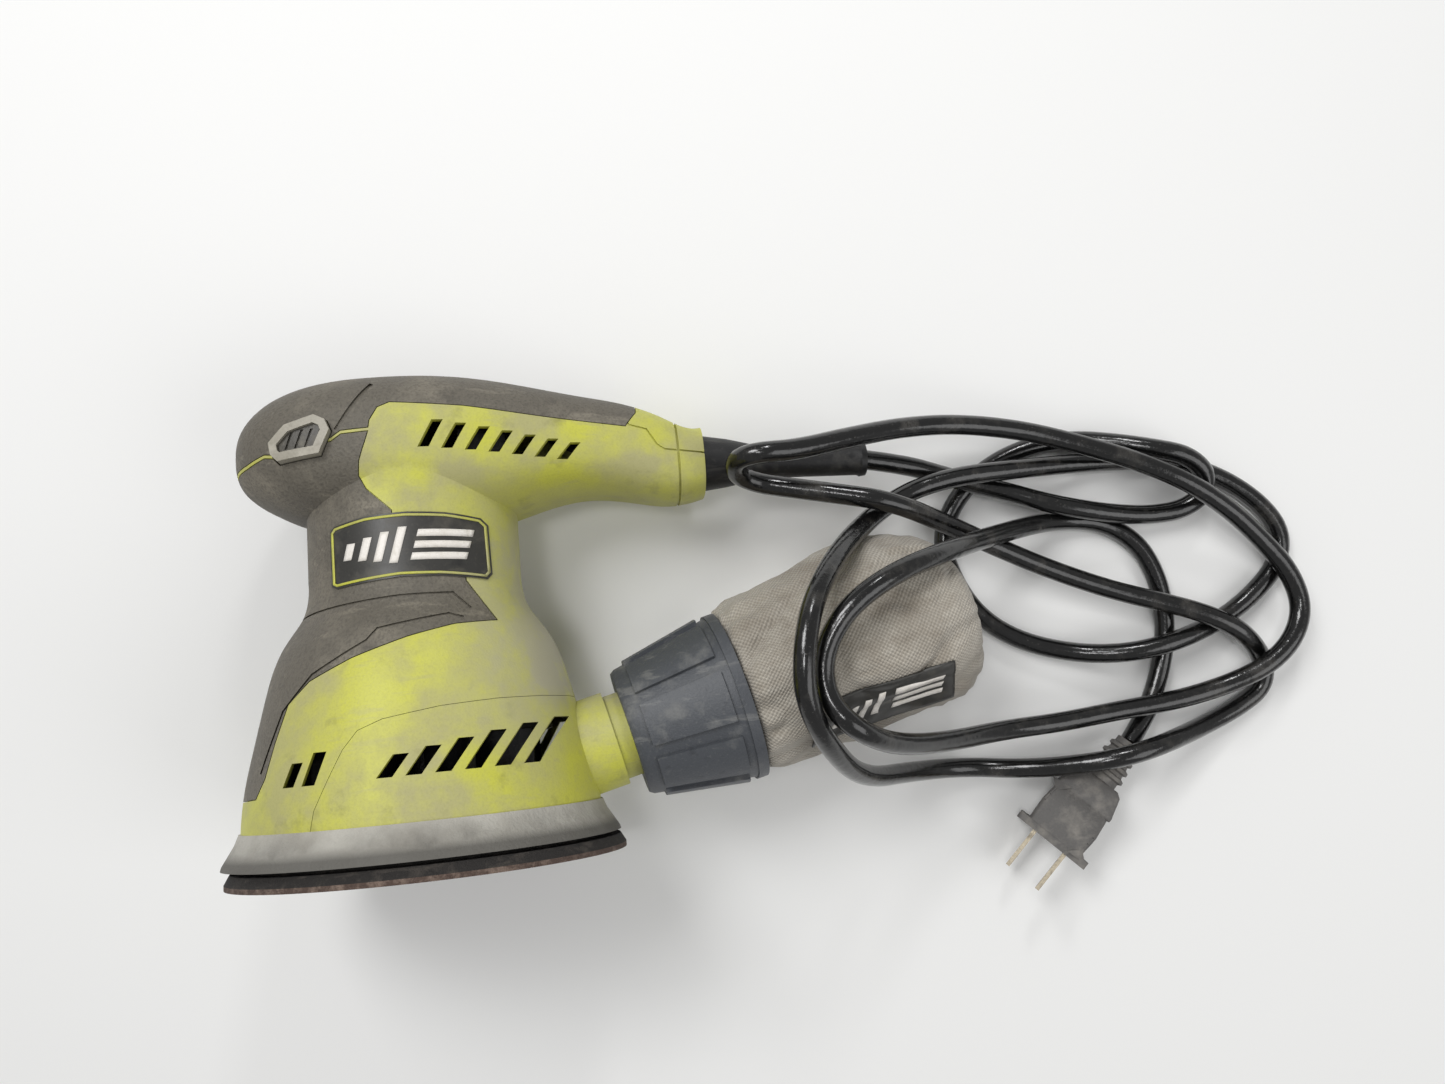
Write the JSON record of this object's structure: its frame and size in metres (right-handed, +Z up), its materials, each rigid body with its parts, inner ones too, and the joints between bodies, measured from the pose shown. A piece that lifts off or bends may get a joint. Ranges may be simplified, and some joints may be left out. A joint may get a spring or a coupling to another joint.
{
  "type": "orbital sander",
  "caption": "Corded random-orbit palm sander lying on its side, with barrel grip, hook-faced round pad, cloth dust bag on a rear port and a looped mains lead with plug.",
  "frame": {"origin": "on the bench, under the middle of the tool and its bag, as the tool lies on its right side", "axes": "+Z up from the bench, +X to the tool's rear (cord and bag), +Y to the tool's head"},
  "size_m": [0.3721, 0.2007, 0.121],
  "materials": {
    "green_shell": "moulded, fine texture",
    "grip_rubber": "matt overmould",
    "skirt_rubber": "matt",
    "label_film": "satin film",
    "foam": "open foam",
    "hook_fibre": "hook pile",
    "dark_plastic": "moulded",
    "collar_plastic": "moulded, worn",
    "button_rim": "moulded",
    "button_face": "moulded",
    "relief_rubber": "matt",
    "cord_sheath": "glossy, dusty",
    "plug_plastic": "matt, dusty",
    "bag_cloth": "woven",
    "steel": "ground",
    "laminations": "stacked sheet",
    "copper": "enamelled wire",
    "aluminium": "cast",
    "carbon": "pressed",
    "blade_metal": "nickel plated"
  },
  "bodies": {
    "housing": {"housing_left": "green_shell", "housing_right": "green_shell", "housing_screws": "steel", "grip_upper_left": "grip_rubber", "grip_lower_left": "grip_rubber", "grip_upper_right": "grip_rubber", "grip_lower_right": "grip_rubber", "label_left": "label_film", "label_right": "label_film", "dust_chute": "green_shell", "skirt": "skirt_rubber", "lower_bearing_outer": "steel", "upper_bearing_outer": "steel", "stator_core": "laminations", "stator_windings": "copper", "bearing_bracket": "aluminium", "bearing_seat": "dark_plastic", "brush_holders": "blade_metal", "carbon_brushes": "carbon", "brush_springs": "steel", "switch_body": "dark_plastic", "capacitor": "dark_plastic", "strain_relief": "relief_rubber", "switch_leads": "relief_rubber", "cord_tail": "cord_sheath", "cord_clamp": "dark_plastic", "clamp_screws": "steel", "power_cord": "cord_sheath", "plug_relief": "plug_plastic", "plug_body": "plug_plastic", "plug_blades": "blade_metal"},
    "rotor": {"motor_shaft": "steel", "counterweight": "steel", "pad_bolt": "steel", "pad_washer": "steel", "fan": "dark_plastic", "armature_core": "laminations", "armature_windings": "copper", "commutator": "copper", "pad_bearing_inner": "steel", "lower_bearing_inner": "steel", "lower_bearing_balls": "steel", "upper_bearing_inner": "steel", "upper_bearing_balls": "steel"},
    "pad": {"hook_face": "hook_fibre", "foam_pad": "foam", "backing_plate": "dark_plastic", "pad_screws": "steel", "pad_bearing_outer": "steel", "pad_bearing_balls": "steel"},
    "switch": {"switch_bar": "dark_plastic", "button_rim_left": "button_rim", "button_face_left": "button_face", "button_rim_right": "button_rim", "button_face_right": "button_face"},
    "bag": {"bag_collar": "collar_plastic", "bag_ring": "collar_plastic", "dust_bag": "bag_cloth"}
  },
  "joints": [
    {"name": "rotor_spin", "type": "hinge", "parent": "housing", "child": "rotor", "pos_m": [-0.06294, -0.0261, 0.0523], "axis": [0, 0.9833, -0.1822], "continuous": true},
    {"name": "pad_spin", "type": "hinge", "parent": "rotor", "child": "pad", "pos_m": [-0.06175, -0.0576, 0.05799], "axis": [0, 0.9833, -0.1822], "continuous": true},
    {"name": "switch_slide", "type": "slide", "parent": "housing", "child": "switch", "axis": [-0.1219, -0.1809, -0.9759], "range_m": [0, 0.004]},
    {"name": "bag_twist", "type": "hinge", "parent": "housing", "child": "bag", "pos_m": [0.00267, -0.03986, 0.04666], "axis": [0.9622, 0.2197, -0.1609], "range_deg": [-25, 0]}
  ]
}
